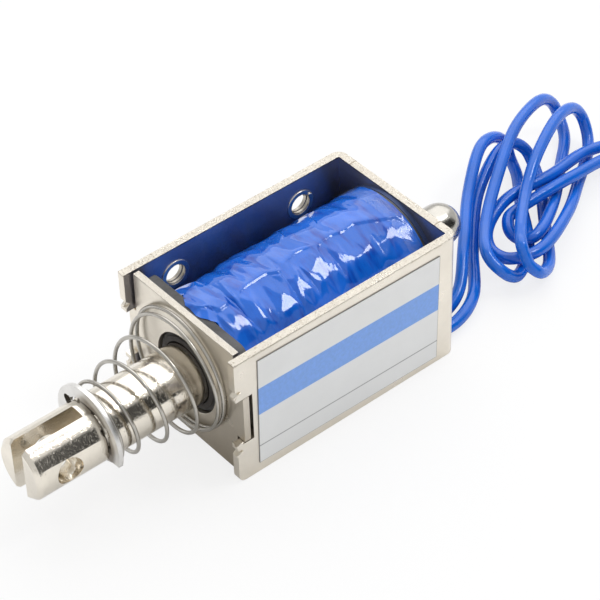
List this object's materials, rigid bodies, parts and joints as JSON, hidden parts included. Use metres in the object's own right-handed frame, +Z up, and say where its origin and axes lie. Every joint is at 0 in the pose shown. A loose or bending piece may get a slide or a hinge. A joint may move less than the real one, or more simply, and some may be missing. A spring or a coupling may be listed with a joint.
{
  "type": "push pull solenoid",
  "caption": "Open-frame push pull solenoid with a slotted, spring-returned plunger, a domed push pin, a blue taped coil and two leads.",
  "frame": {"origin": "middle of the frame's footprint on its base plane", "axes": "+Y from the slotted end of the plunger towards the push pin, +Z up from the base, +X towards the label"},
  "size_m": [0.0321, 0.0967, 0.0165],
  "materials": {
    "frame_steel": "nickel plated, satin",
    "plate_steel": "nickel plated, brushed",
    "bobbin_plastic": "moulded, dark grey",
    "copper_wire": "enamelled copper wire",
    "inner_film": "insulation film",
    "blue_tape": "creased adhesive tape",
    "film": "clear film",
    "washer": "insulating board",
    "core_steel": "turned, plated",
    "pin_steel": "polished",
    "plunger_steel": "nickel plated, turned",
    "clip_steel": "stamped spring steel",
    "spring_steel": "bright drawn wire",
    "label": "matt silver film with a blue band",
    "solder": "solder",
    "lead_skin": "blue PVC",
    "tinned": "tinned copper strands"
  },
  "bodies": {
    "housing": {"frame": "frame_steel", "front_plate": "plate_steel", "bobbin": "bobbin_plastic", "winding": "copper_wire", "inner_layer": "inner_film", "tape_wrap": "blue_tape", "clear_film": "film", "rear_washer": "washer", "fixed_core": "core_steel", "return_spring": "spring_steel", "label": "label", "lead_joints": "solder", "coil_ends": "copper_wire", "lead_a": "lead_skin", "lead_b": "lead_skin", "lead_tip_a": "tinned", "lead_tip_b": "tinned"},
    "clip_slide": {"retaining_clip": "clip_steel"},
    "plunger_unit": {"plunger": "plunger_steel", "push_pin": "pin_steel"}
  },
  "joints": [
    {"name": "plunger_slide", "type": "slide", "parent": "housing", "child": "clip_slide", "axis": [0, 1, 0], "range_m": [0, 0.01], "stiffness_N_per_m": 100, "springref_m": -0.01, "deforming": ["return_spring"]},
    {"name": "plunger_spin", "type": "hinge", "parent": "clip_slide", "child": "plunger_unit", "pos_m": [0, -0.026, 0.00824], "axis": [0, 1, 0], "continuous": true}
  ]
}
